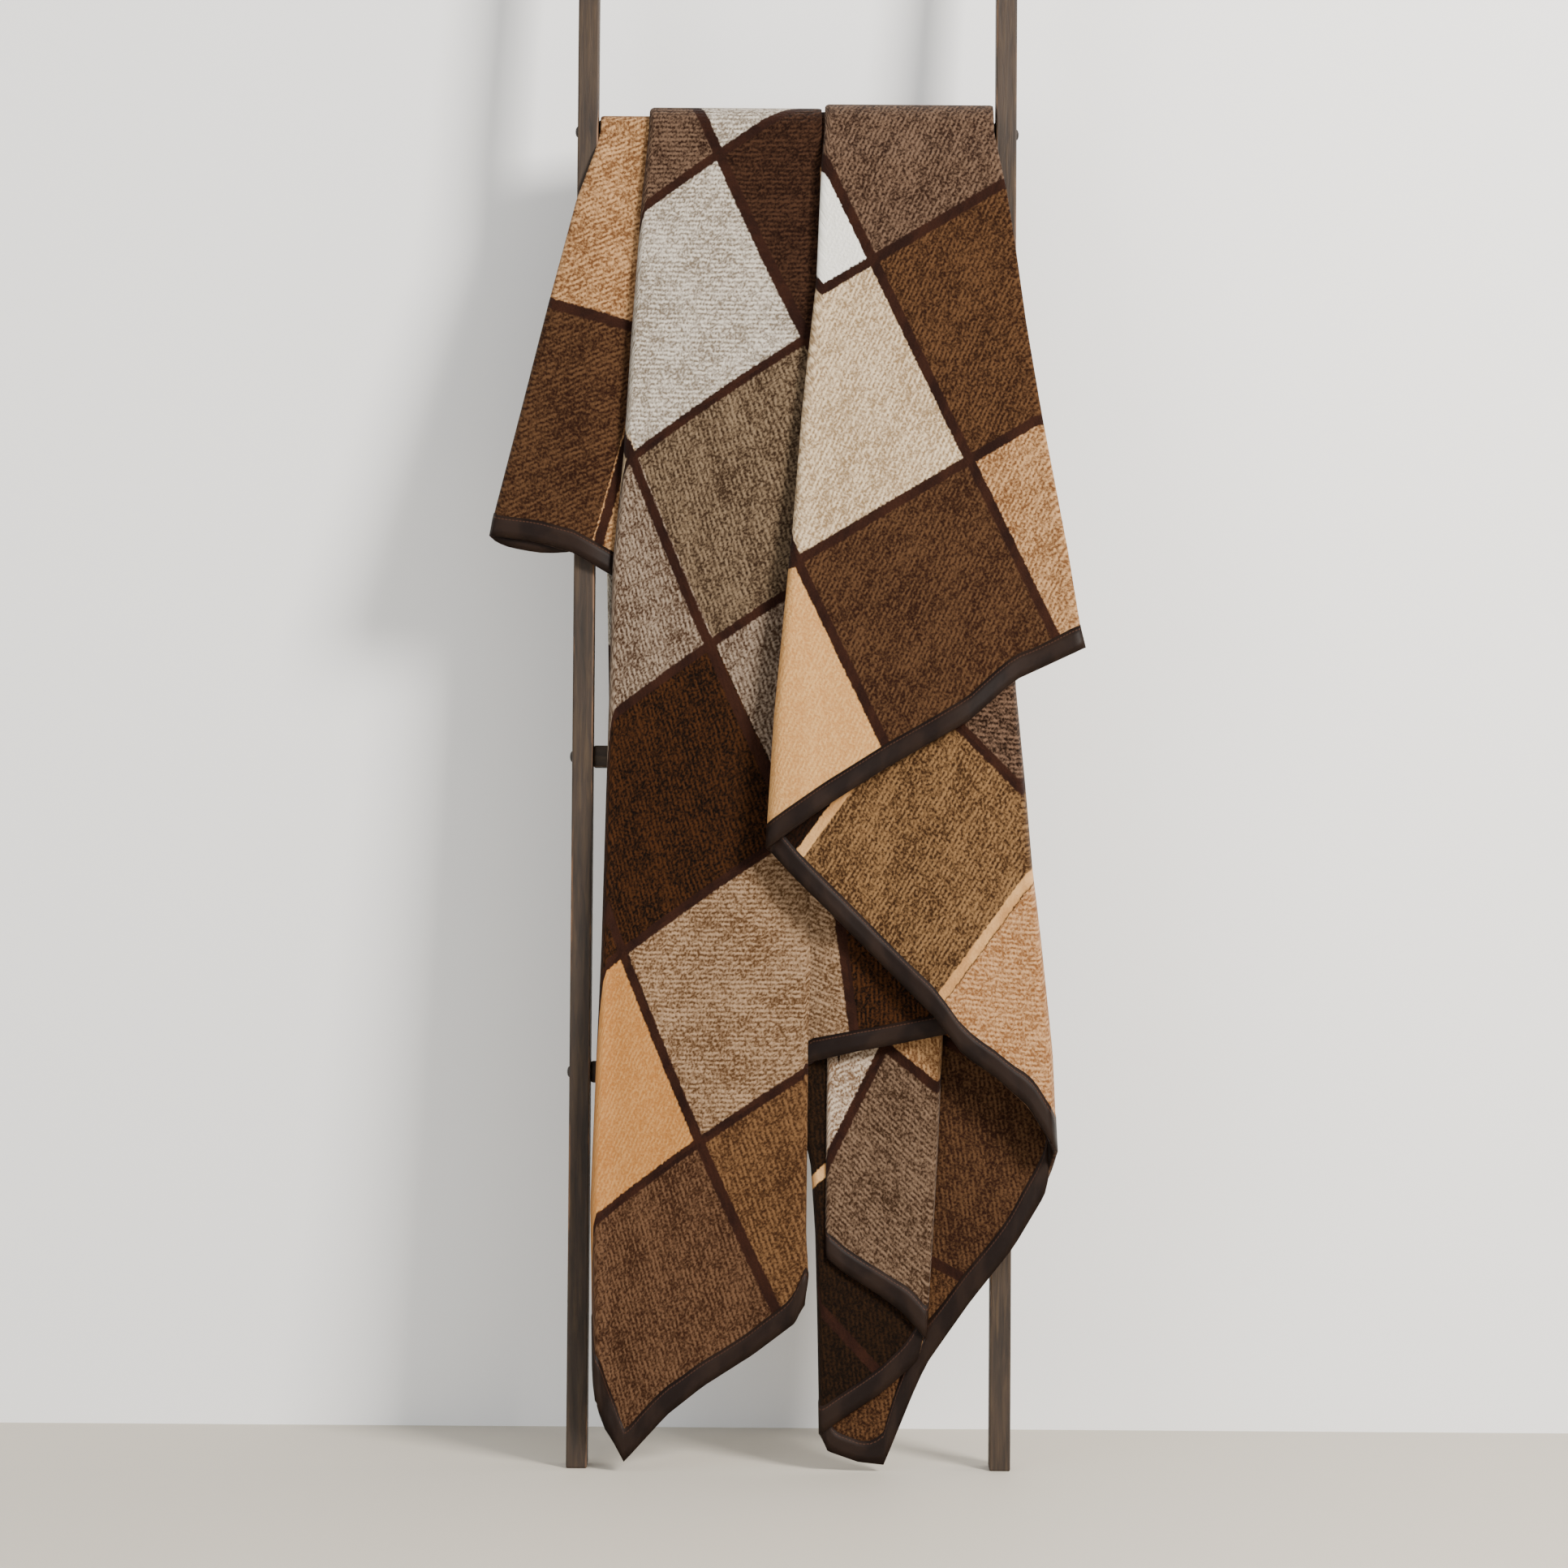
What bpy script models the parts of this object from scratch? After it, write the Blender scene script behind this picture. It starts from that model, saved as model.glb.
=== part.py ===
"""A plush patchwork quilt gathered over the top rung of a leaning blanket ladder.

World frame: X runs across the ladder, Y from the front to the wall behind it, Z up.
The ladder is modelled upright on an empty that leans it back, and its feet are cut level
with the floor. The quilt hangs from the top rung: its front falls follow the front of the
ladder, and its back fall hangs plumb. The origin is on the floor under the middle of the
whole assembly.
"""
import math

import bmesh
import bpy
from mathutils import Vector

# Ladder frame: two rails, evenly spaced rungs and one screw through a rail into each rung end
LEAN = math.radians(5.66)
LADDER_WIDTH = 0.508
RAIL_LENGTH = 1.830
RAIL_WIDTH = 0.024
RAIL_DEPTH = 0.044
RAIL_EASE = 0.0018
RUNG_COUNT = 4
RUNG_HEIGHT = 0.025
RUNG_DEPTH = 0.025
RUNG_EASE = 0.0025
FIRST_RUNG = 0.451
RUNG_SPACING = 0.363

# Screws
SHANK_RADIUS = 0.0028
SHANK_IN_RUNG = 0.030
HEAD_RADIUS = 0.0065
HEAD_HEIGHT = 0.0030
SCREW_CLEARANCE = 0.0004
SCREW_SIDES = 16
DOME_STEPS = (75, 50, 25, 0)

# Quilt
TOUCH = 0.0003
CLOTH_CLEARANCE = 0.0011
RAIL_CLEARANCE = 0.0015
BINDING_WIDTH = 0.024
SADDLE_DROP = 0.009
SADDLE_CLEARANCE = 0.0009
SADDLE_TURNS = 12
TOP_ROW_DROP = 0.015
OVER_RAIL_DROP = 0.040
BESIDE_RAIL = 0.0018
LEFT_PILE = 0.010
MIDDLE_PILE = 0.016
RIGHT_PILE = 0.022
FLAP_PILE = 0.009
FLAP_PILE_BELOW = 0.015
LONG_PILE = 0.0205
LONG_PILE_BELOW = 0.0235
FOLDS_PILE = 0.024
FOLDS_PILE_BELOW = 0.046
FOLDS_PILE_AT_FOOT = 0.053
LEFT_FOLD = -0.171
RIGHT_FOLD = 0.033
BACK_LENGTH = 0.820
BACK_THICKNESS = 0.034
BACK_LEFT = -0.212
BACK_RIGHT = 0.212

# Worked out from the sizes above
INNER_HALF = LADDER_WIDTH / 2 - RAIL_WIDTH
RAIL_X = LADDER_WIDTH / 2 - RAIL_WIDTH / 2
TOP_RUNG = FIRST_RUNG + (RUNG_COUNT - 1) * RUNG_SPACING
RUNG_FRONT = RUNG_DEPTH / 2
RAIL_FRONT = RAIL_DEPTH / 2
TOP_ROW = TOP_RUNG - TOP_ROW_DROP
OVER_RAIL = TOP_RUNG - OVER_RAIL_DROP
CLOTH_SIDE = INNER_HALF - BESIDE_RAIL

WOOD = ("stained_wood", (0.052, 0.041, 0.033), 0.62, 0.0)
STEEL = ("dark_screw", (0.030, 0.027, 0.025), 0.45, 0.9)
PLUSH = ("plush_cloth", (0.190, 0.115, 0.065), 0.95, 0.0)
SATIN = ("satin_binding", (0.036, 0.023, 0.018), 0.55, 0.0)


def clear_scene():
    for old in list(bpy.data.objects):
        bpy.data.objects.remove(old, do_unlink=True)


def material(finish):
    name, color, roughness, metallic = finish
    found = bpy.data.materials.get(name)
    if found:
        return found
    made = bpy.data.materials.new(name)
    made.use_nodes = True
    shader = made.node_tree.nodes["Principled BSDF"]
    shader.inputs["Base Color"].default_value = (*color, 1.0)
    shader.inputs["Roughness"].default_value = roughness
    shader.inputs["Metallic"].default_value = metallic
    return made


def empty(name, parent=None, location=(0.0, 0.0, 0.0), lean=0.0):
    frame = bpy.data.objects.new(name, None)
    bpy.context.collection.objects.link(frame)
    frame.parent = parent
    frame.location = location
    frame.rotation_euler = (-lean, 0.0, 0.0)
    return frame


def named_object(name, mesh_builder, parent, finish):
    """Turns a filled bmesh into a placed object with its own material."""
    mesh = bpy.data.meshes.new(name)
    bmesh.ops.recalc_face_normals(mesh_builder, faces=mesh_builder.faces)
    mesh_builder.to_mesh(mesh)
    mesh_builder.free()
    mesh.materials.append(material(finish))
    made = bpy.data.objects.new(name, mesh)
    bpy.context.collection.objects.link(made)
    made.parent = parent
    return made


def ease_edges(target, width):
    bevel = target.modifiers.new("eased_edges", "BEVEL")
    bevel.width = width
    bevel.segments = 2
    bevel.limit_method = "ANGLE"
    bevel.angle_limit = math.radians(50)


def cut(target, cutter):
    hole = target.modifiers.new("hole_" + cutter.name, "BOOLEAN")
    hole.operation = "DIFFERENCE"
    hole.solver = "EXACT"
    hole.object = cutter


def box(name, low, high, parent, finish):
    made = bmesh.new()
    bmesh.ops.create_cube(made, size=1.0)
    low, high = Vector(low), Vector(high)
    for vert in made.verts:
        vert.co = [(low[k] + high[k]) / 2 + vert.co[k] * (high[k] - low[k]) for k in range(3)]
    return named_object(name, made, parent, finish)


# ---------------------------------------------------------------- ladder

def rail(name, side, ladder):
    """A straight rail whose foot is sawn level, so it stands flat on the floor at the lean."""
    x = side * RAIL_X
    made = box(
        name,
        (x - RAIL_WIDTH / 2, -RAIL_DEPTH / 2, 0.0),
        (x + RAIL_WIDTH / 2, RAIL_DEPTH / 2, RAIL_LENGTH),
        ladder,
        WOOD,
    )
    for vert in made.data.vertices:
        if vert.co.z < RAIL_LENGTH / 2:
            vert.co.z = vert.co.y * math.tan(LEAN)
    ease_edges(made, RAIL_EASE)
    return made


def rung(number, height, ladder):
    half_length = INNER_HALF - TOUCH
    made = box(
        f"rung_{number}",
        (-half_length, -RUNG_DEPTH / 2, height - RUNG_HEIGHT / 2),
        (half_length, RUNG_DEPTH / 2, height + RUNG_HEIGHT / 2),
        ladder,
        WOOD,
    )
    ease_edges(made, RUNG_EASE)
    return made


def turned(name, profile, side, height, parent, finish):
    """Turns (distance in from the rail's outer face, radius) pairs about a screw's axis."""
    made = bmesh.new()
    rings = []
    for inward, radius in profile:
        x = side * (LADDER_WIDTH / 2 - inward)
        turns = [math.tau * k / SCREW_SIDES for k in range(SCREW_SIDES)]
        rings.append([
            made.verts.new((x, radius * math.cos(a), height + radius * math.sin(a))) for a in turns
        ])
    for near, far in zip(rings, rings[1:]):
        for k in range(SCREW_SIDES):
            after = (k + 1) % SCREW_SIDES
            made.faces.new((near[k], near[after], far[after], far[k]))
    made.faces.new(rings[0])
    made.faces.new(rings[-1])
    return named_object(name, made, parent, finish)


def screw(number, side_name, side, height, ladder):
    """A domed screw: its head bears on the rail's outer face and its shank enters the rung."""
    tip = RAIL_WIDTH + SHANK_IN_RUNG
    dome = [
        (-TOUCH - HEAD_HEIGHT * math.sin(math.radians(a)), HEAD_RADIUS * math.cos(math.radians(a)))
        for a in DOME_STEPS
    ]
    shank = [
        (-TOUCH, SHANK_RADIUS),
        (tip - 2 * SHANK_RADIUS, SHANK_RADIUS),
        (tip, SHANK_RADIUS / 3),
    ]
    made = turned(f"screw_{number}_{side_name}", dome + shank, side, height, ladder, STEEL)
    made.data.shade_smooth()
    made.data.set_sharp_from_angle(angle=math.radians(40))
    return made


def screw_hole(number, side_name, side, height, ladder):
    radius = SHANK_RADIUS + SCREW_CLEARANCE
    bore = [(-HEAD_HEIGHT, radius), (RAIL_WIDTH + SHANK_IN_RUNG + SCREW_CLEARANCE * 2, radius)]
    made = turned(f"bore_{number}_{side_name}", bore, side, height, ladder, STEEL)
    made.hide_render = True
    made.display_type = "WIRE"
    return made


def build_ladder(ladder):
    rails = {"left": (-1, rail("left_rail", -1, ladder)), "right": (1, rail("right_rail", 1, ladder))}
    for number in range(1, RUNG_COUNT + 1):
        height = FIRST_RUNG + (number - 1) * RUNG_SPACING
        step = rung(number, height, ladder)
        for side_name, (side, side_rail) in rails.items():
            bore = screw_hole(number, side_name, side, height, ladder)
            cut(side_rail, bore)
            cut(step, bore)
            screw(number, side_name, side, height, ladder)


# ---------------------------------------------------------------- quilt

def along(stations, height):
    """Reads a value between (height, value) stations that run from top to bottom."""
    for (upper, value_up), (lower, value_low) in zip(stations, stations[1:]):
        if height >= lower:
            share = (upper - height) / (upper - lower)
            return value_up + min(max(share, 0.0), 1.0) * (value_low - value_up)
    return stations[-1][1]


def fall(name, left_edge, right_edge, back, front, parent, finish=PLUSH):
    """A hanging panel: rows run from left_edge to right_edge, both (across, height) lists.

    back and front are stations of how far each face stands before the ladder's mid-plane.
    """
    made = bmesh.new()
    rows = []
    for left, right in zip(left_edge, right_edge):
        corners = []
        for (across, height), depth in ((left, back), (right, back), (right, front), (left, front)):
            corners.append(made.verts.new((across, -along(depth, height), height)))
        rows.append(corners)
    for upper, lower in zip(rows, rows[1:]):
        for k in range(4):
            after = (k + 1) % 4
            made.faces.new((upper[k], upper[after], lower[after], lower[k]))
    made.faces.new(rows[0])
    made.faces.new(rows[-1])
    return named_object(name, made, parent, finish)


def hem(name, start, end, back, front, parent):
    """A bound edge: a strip that carries on below the hem line from start to end."""
    way = (Vector(end) - Vector(start)).normalized()
    down = Vector((way.y, -way.x))
    if down.y > 0:
        down = -down
    near = [Vector(p) + down * TOUCH * 2 for p in (start, end)]
    far = [Vector(p) + down * BINDING_WIDTH for p in (start, end)]
    return fall(name, [near[0], far[0]], [near[1], far[1]], back, front, parent, SATIN)


def share_of(stations_low, stations_high, share):
    return [
        (height, low + share * (high - low))
        for (height, low), (_, high) in zip(stations_low, stations_high)
    ]


def build_left_falls(quilt):
    """The short flap before the left rail, and the long fall that hangs between the rails."""
    flap_back = [
        (TOP_ROW, RUNG_FRONT + CLOTH_CLEARANCE),
        (OVER_RAIL, RAIL_FRONT + CLOTH_CLEARANCE),
        (0.0, RAIL_FRONT + CLOTH_CLEARANCE),
    ]
    flap_front = [
        (TOP_ROW, RUNG_FRONT + LEFT_PILE), (OVER_RAIL, RAIL_FRONT + FLAP_PILE),
        (0.95, RAIL_FRONT + FLAP_PILE_BELOW), (0.0, RAIL_FRONT + FLAP_PILE_BELOW),
    ]
    flap_left = [
        (-CLOTH_SIDE, TOP_ROW), (-CLOTH_SIDE, OVER_RAIL), (-0.254, 1.455), (-0.312, 1.221),
        (-0.345, 1.088),
    ]
    flap_right = [
        (-0.176, TOP_ROW), (-0.177, OVER_RAIL), (-0.181, 1.455), (-0.195, 1.200), (-0.210, 1.049),
    ]
    fall("quilt_left_flap", flap_left, flap_right, flap_back, flap_front, quilt)
    hem("binding_left_flap", flap_left[-1], flap_right[-1], flap_back, flap_front, quilt)

    long_back = [(TOP_ROW, RUNG_FRONT + CLOTH_CLEARANCE), (0.0, RUNG_FRONT + CLOTH_CLEARANCE)]
    long_front = [
        (TOP_ROW, RUNG_FRONT + MIDDLE_PILE), (0.95, RUNG_FRONT + LONG_PILE),
        (0.0, RUNG_FRONT + LONG_PILE_BELOW),
    ]
    long_left = [
        (LEFT_FOLD, TOP_ROW), (-0.178, 1.449), (-0.190, 1.200), (-0.205, 1.037), (-0.212, 0.800),
        (-0.217, 0.585), (-0.224, 0.300), (-0.222, 0.119), (-0.195, 0.045),
    ]
    long_right = [
        (0.020, TOP_ROW), (0.020, 1.449), (0.021, 1.200), (0.021, 1.037), (0.021, 0.800),
        (0.021, 0.585), (0.019, 0.300), (-0.003, 0.182), (-0.185, 0.045),
    ]
    fall("quilt_long_fall", long_left, long_right, long_back, long_front, quilt)
    hem("binding_long_fall", (-0.196, 0.0368), long_right[-2], long_back, long_front, quilt)


def build_right_falls(quilt):
    """Five folds that lie one before the other: the rearmost is listed first."""
    low = [
        (TOP_ROW, RUNG_FRONT + CLOTH_CLEARANCE), (OVER_RAIL, RAIL_FRONT + CLOTH_CLEARANCE),
        (0.950, RAIL_FRONT + RAIL_CLEARANCE), (0.0, RAIL_FRONT + RAIL_CLEARANCE),
    ]
    high = [
        (TOP_ROW, RUNG_FRONT + RIGHT_PILE), (OVER_RAIL, RAIL_FRONT + FOLDS_PILE),
        (0.950, RAIL_FRONT + FOLDS_PILE_BELOW), (0.0, RAIL_FRONT + FOLDS_PILE_AT_FOOT),
    ]
    folds = {
        "return": (
            [
                (0.040, TOP_ROW), (0.040, OVER_RAIL), (0.040, 1.200), (0.045, 0.800),
                (0.055, 0.440), (0.080, 0.225), (0.105, 0.042),
            ],
            [
                (CLOTH_SIDE, TOP_ROW), (CLOTH_SIDE, OVER_RAIL), (0.250, 1.200), (0.268, 0.800),
                (0.290, 0.385), (0.186, 0.205), (0.125, 0.042),
            ],
            (0.0, 0.16),
        ),
        "inner": (
            [
                (0.038, TOP_ROW), (0.038, OVER_RAIL), (0.038, 1.200), (0.038, 0.800),
                (0.037, 0.340), (0.038, 0.150), (0.040, 0.040),
            ],
            [
                (0.165, TOP_ROW), (0.165, OVER_RAIL), (0.168, 1.200), (0.170, 0.800),
                (0.167, 0.364), (0.154, 0.171), (0.098, 0.033),
            ],
            (0.18, 0.39),
        ),
        "middle": (
            [(0.036, TOP_ROW), (0.036, OVER_RAIL), (0.030, 1.200), (0.026, 0.800), (0.024, 0.488)],
            [(0.180, TOP_ROW), (0.180, OVER_RAIL), (0.178, 1.200), (0.176, 0.800), (0.172, 0.517)],
            (0.41, 0.56),
        ),
        "turned": (
            [(0.036, TOP_ROW), (0.033, OVER_RAIL), (0.012, 1.200), (-0.016, 0.860), (-0.025, 0.735)],
            [
                (CLOTH_SIDE, TOP_ROW), (CLOTH_SIDE, OVER_RAIL), (0.255, 1.200), (0.272, 0.700),
                (0.298, 0.400),
            ],
            (0.58, 0.77),
        ),
        "front": (
            [(RIGHT_FOLD, TOP_ROW), (0.030, OVER_RAIL), (0.010, 1.200), (-0.018, 0.860), (-0.027, 0.738)],
            [
                (CLOTH_SIDE, TOP_ROW), (CLOTH_SIDE, OVER_RAIL), (0.283, 1.200), (0.312, 1.049),
                (0.327, 0.961),
            ],
            (0.79, 1.0),
        ),
    }
    for name, (left, right, (rear, fore)) in folds.items():
        back = share_of(low, high, rear)
        front = share_of(low, high, fore)
        fall(f"quilt_{name}_fold", left, right, back, front, quilt)
        hem(f"binding_{name}_fold", left[-1], right[-1], back, front, quilt)


def squared(ratio):
    """Bends a circle's sine or cosine towards a square, which a folded cloth takes over a rung."""
    return math.copysign(abs(ratio) ** 0.5, ratio)


def saddle(quilt):
    """The gathered band over the top rung, in three thicknesses where more folds lie on it."""
    inner = RUNG_DEPTH / 2 * (math.cos(LEAN) + math.sin(LEAN)) + SADDLE_CLEARANCE
    stations = [
        (-CLOTH_SIDE, LEFT_PILE), (LEFT_FOLD - 0.003, LEFT_PILE), (LEFT_FOLD, MIDDLE_PILE),
        (RIGHT_FOLD - 0.003, MIDDLE_PILE), (RIGHT_FOLD, RIGHT_PILE), (CLOTH_SIDE, RIGHT_PILE),
    ]
    made = bmesh.new()
    rings = []
    turns = [math.pi * k / SADDLE_TURNS for k in range(SADDLE_TURNS + 1)]
    for across, pile in stations:
        outer = inner + pile
        path = [(inner, -SADDLE_DROP)]
        path += [(inner * squared(math.cos(a)), inner * squared(math.sin(a))) for a in turns]
        path += [(-inner, -SADDLE_DROP), (-outer, -SADDLE_DROP)]
        path += [(outer * math.cos(a), outer * math.sin(a)) for a in reversed(turns)]
        path += [(outer, -SADDLE_DROP)]
        rings.append([made.verts.new((across, y, z)) for y, z in path])
    for near, far in zip(rings, rings[1:]):
        for k in range(len(near)):
            after = (k + 1) % len(near)
            made.faces.new((near[k], near[after], far[after], far[k]))
    made.faces.new(rings[0])
    made.faces.new(rings[-1])
    return named_object("quilt_over_rung", made, quilt, PLUSH)


def back_fall(quilt):
    """The shorter gathered fall behind the ladder, hanging plumb from the saddle."""
    near = RUNG_DEPTH / 2 * (math.cos(LEAN) + math.sin(LEAN)) + SADDLE_CLEARANCE
    top = -SADDLE_DROP - TOUCH * 2
    foot = top - BACK_LENGTH
    box("quilt_back_fall", (BACK_LEFT, near, foot), (BACK_RIGHT, near + BACK_THICKNESS, top), quilt, PLUSH)
    box(
        "binding_back_fall",
        (BACK_LEFT, near, foot - BINDING_WIDTH),
        (BACK_RIGHT, near + BACK_THICKNESS, foot - TOUCH),
        quilt,
        SATIN,
    )


def stand_over_origin(assembly):
    """Moves the assembly so that the origin is on the floor under the middle of its box."""
    bpy.context.view_layer.update()
    places = []
    for thing in bpy.data.objects:
        if thing.type == "MESH" and not thing.hide_render:
            places += [thing.matrix_world @ vert.co for vert in thing.data.vertices]
    for k in (0, 1):
        values = [place[k] for place in places]
        assembly.location[k] -= (min(values) + max(values)) / 2


clear_scene()
assembly = empty("assembly")
ladder = empty("ladder_frame", assembly, lean=LEAN)
front_of_quilt = empty("quilt_front_frame", assembly, lean=LEAN)
rung_place = (0.0, TOP_RUNG * math.sin(LEAN), TOP_RUNG * math.cos(LEAN))
hanging = empty("quilt_hanging_frame", assembly, location=rung_place)
build_ladder(ladder)
build_left_falls(front_of_quilt)
build_right_falls(front_of_quilt)
saddle(hanging)
back_fall(hanging)
stand_over_origin(assembly)
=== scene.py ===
import math
from collections import namedtuple

import bpy
import numpy as np
from mathutils import Euler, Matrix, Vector


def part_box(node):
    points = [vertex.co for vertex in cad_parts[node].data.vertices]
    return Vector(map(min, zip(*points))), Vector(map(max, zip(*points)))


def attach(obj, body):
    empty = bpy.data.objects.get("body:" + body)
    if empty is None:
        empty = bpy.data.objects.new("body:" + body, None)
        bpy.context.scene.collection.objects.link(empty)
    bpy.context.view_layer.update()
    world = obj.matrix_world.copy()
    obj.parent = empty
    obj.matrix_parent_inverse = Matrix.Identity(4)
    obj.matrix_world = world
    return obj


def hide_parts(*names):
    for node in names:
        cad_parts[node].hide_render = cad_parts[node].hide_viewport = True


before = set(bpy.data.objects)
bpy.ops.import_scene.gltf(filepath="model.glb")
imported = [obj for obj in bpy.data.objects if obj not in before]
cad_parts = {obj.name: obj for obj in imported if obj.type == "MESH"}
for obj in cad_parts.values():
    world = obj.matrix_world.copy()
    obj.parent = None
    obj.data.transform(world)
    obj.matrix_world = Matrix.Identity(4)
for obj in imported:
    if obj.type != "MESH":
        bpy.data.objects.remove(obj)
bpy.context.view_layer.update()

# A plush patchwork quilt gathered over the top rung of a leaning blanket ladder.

# ---------------------------------------------------------------- ladder
# Sawn softwood rails and rungs under a thin dark brown stain. The stain is rubbed away along
# the sharp edges, where paler wood shows, and the grain runs the length of each piece. The
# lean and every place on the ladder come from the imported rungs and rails.


def middle(name):
    low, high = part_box(name)
    return (Vector(low) + Vector(high)) / 2


RUNGS = range(1, 5)
SIDES = ("left", "right")
top_rung = middle("rung_4")
rise = top_rung - middle("rung_1")
lean = math.atan2(rise.y, rise.z)
rung_up = top_rung.z / math.cos(lean)
rung_pitch = rise.length / (len(RUNGS) - 1)
rail_across = (middle("right_rail").x - middle("left_rail").x) / 2
foot_y = top_rung.y - rung_up * math.sin(lean)
centre_x = top_rung.x

# half a section: across the rail or up the rung, and front to back
RAIL_HALVES = (0.012, 0.022)
RUNG_HALVES = (0.0125, 0.0125)
WORN_FROM = 0.0030
WORN_BARE = 0.0004


def linear(code):
    """sRGB hex to the linear colour that a shader socket takes."""
    parts = [int(code[k:k + 2], 16) / 255 for k in (1, 3, 5)]
    return tuple(p / 12.92 if p <= 0.04045 else ((p + 0.055) / 1.055) ** 2.4 for p in parts) + (1.0,)


def node(tree, kind, *values, out=0, **given):
    """Adds a node and gives back one of its outputs. Values fill its sockets in order, and a
    word first is its operation; what is given by name is its own setting or a socket."""
    made = tree.nodes.new("ShaderNode" + kind)
    if values and isinstance(values[0], str):
        made.operation, *values = values
    sockets = dict(enumerate(values))
    for name, value in given.items():
        if hasattr(made, name):
            setattr(made, name, value)
        else:
            sockets[int(name[1:]) if name[1:].isdigit() else name] = value
    for place, value in sockets.items():
        if isinstance(value, bpy.types.NodeSocket):
            tree.links.new(value, made.inputs[place])
        else:
            made.inputs[place].default_value = value
    return made.outputs[out]


# settings that many nodes share: a smooth step, a mix of colours, a pattern on flat cloth
SMOOTHLY = {"interpolation_type": "SMOOTHSTEP"}
COLOURS = {"data_type": "RGBA", "out": 2}
FLAT = {"noise_dimensions": "2D"}


def new_material(name, **shader):
    made = bpy.data.materials.new(name)
    made.use_nodes = True
    bsdf = made.node_tree.nodes["Principled BSDF"]
    for socket, value in shader.items():
        bsdf.inputs[socket.replace("_", " ")].default_value = value
    return made, made.node_tree, bsdf


def stained_wood(name, lengthways, halves, centre):
    """Dark stain soaked unevenly into straight grain, with bare wood along worn corners."""
    made, tree, bsdf = new_material(name, Roughness=0.6, IOR=1.5, Specular_IOR_Level=0.35)
    upright = node(tree, "Mapping", node(tree, "TexCoord", out="Object"), vector_type="TEXTURE",
                   Location=(centre_x, foot_y, 0.0), Rotation=(-lean, 0.0, 0.0))
    stretch = (7.0, 90.0, 90.0) if lengthways == "x" else (90.0, 90.0, 7.0)
    fibres = node(tree, "VectorMath", "MULTIPLY", upright, stretch)
    grain = node(tree, "TexNoise", fibres, Scale=2.2, Detail=6.0, Roughness=0.62, Distortion=0.4)
    blotch = node(tree, "TexNoise", upright, Scale=9.0, Detail=3.0)
    stain = node(tree, "ValToRGB", grain)
    stops = stain.node.color_ramp.elements
    for k, (position, code) in enumerate(((0.30, "#160e07"), (0.50, "#2c1f13"), (0.72, "#42321f"))):
        stop = stops[k] if k < 2 else stops.new(position)
        stop.position = position
        stop.color = linear(code)
    soaked = node(tree, "MapRange", blotch, 0.35, 0.7, 0.0, 0.5, **SMOOTHLY)
    toned = node(tree, "Mix", soaked, i6=stain, i7=linear("#36291d"), **COLOURS)

    # how near a point is to a corner of the section: rails repeat left and right, rungs upward
    across, deep, up = node(tree, "SeparateXYZ", upright).node.outputs
    if lengthways == "x":
        from_rung = node(tree, "Math", "SUBTRACT", up, centre)
        side = node(tree, "Math", "WRAP", from_rung, rung_pitch / 2, -rung_pitch / 2)
    else:
        side = node(tree, "Math", "SUBTRACT", node(tree, "Math", "ABSOLUTE", across), centre)
    near_edges = []
    for offset, half in zip((side, deep), halves):
        far = node(tree, "Math", "ABSOLUTE", offset)
        near_edges.append(node(tree, "MapRange", far, half - WORN_FROM, half - WORN_BARE, **SMOOTHLY))
    corner = node(tree, "Math", "MULTIPLY", *near_edges)
    rub = node(tree, "TexNoise", fibres, Scale=0.9, Detail=5.0, Roughness=0.7)
    worn = node(tree, "Math", "MULTIPLY", corner, node(tree, "MapRange", rub, 0.50, 0.62, **SMOOTHLY))
    shown = node(tree, "Mix", worn, i6=toned, i7=linear("#6e4e33"), **COLOURS)
    tree.links.new(shown, bsdf.inputs["Base Color"])
    tree.links.new(node(tree, "Bump", Height=grain, Strength=0.5, Distance=0.0010), bsdf.inputs["Normal"])
    return made


def dress(name, finish):
    """Gives a carried-over CAD node its material."""
    thing = bpy.data.objects[name]
    thing.data.materials.clear()
    thing.data.materials.append(finish)


rail_wood = stained_wood("stained_rail_wood", "z", RAIL_HALVES, rail_across)
rung_wood = stained_wood("stained_rung_wood", "x", RUNG_HALVES, rung_up % rung_pitch)
for side in SIDES:
    dress(f"{side}_rail", rail_wood)
for rung in RUNGS:
    dress(f"rung_{rung}", rung_wood)

# ---------------------------------------------------------------- screws
# Domed steel screws through the rails into the rungs' ends, blackened so that they match the
# stain. The blackening is a little uneven, so the shine breaks up over each dome.


def blackened_steel():
    made, tree, bsdf = new_material("blackened_steel", Metallic=0.85, Roughness=0.42)
    speck = node(tree, "TexNoise", node(tree, "TexCoord", out="Object"), Scale=600.0, Detail=3.0)
    tone = node(tree, "Mix", speck, i6=linear("#1d1a18"), i7=linear("#3b342f"), **COLOURS)
    tree.links.new(tone, bsdf.inputs["Base Color"])
    shine = node(tree, "MapRange", speck, 0.3, 0.7, 0.34, 0.55, **SMOOTHLY)
    tree.links.new(shine, bsdf.inputs["Roughness"])
    return made


steel = blackened_steel()
for rung in RUNGS:
    for side in SIDES:
        dress(f"screw_{rung}_{side}", steel)

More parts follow.
